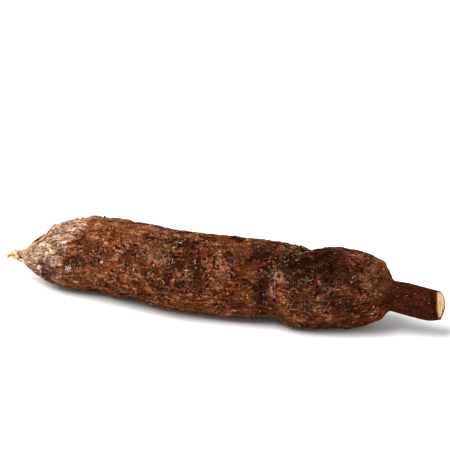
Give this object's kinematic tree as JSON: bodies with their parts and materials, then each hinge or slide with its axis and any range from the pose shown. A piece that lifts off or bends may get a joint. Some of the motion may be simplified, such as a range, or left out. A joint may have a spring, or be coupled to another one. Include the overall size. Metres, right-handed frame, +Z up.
{
  "type": "cassava root",
  "caption": "Long tapering tuber with rough brown bark, a slanting waist, a cut woody stalk and a torn fibrous tail, lying on its side.",
  "frame": {"origin": "middle of the root's footprint, on the surface that it lies on", "axes": "+X along the root towards the cut stalk, -Y towards the side seen in front, +Z up"},
  "size_m": [0.3654, 0.0784, 0.0625],
  "materials": {
    "bark": "rough, cracked, matt to faintly waxy",
    "cut_wood": "dry sawn end grain",
    "torn_fibre": "dry, pale, fibrous"
  },
  "bodies": {
    "root": {"cassava_root": "bark"}
  },
  "joints": []
}
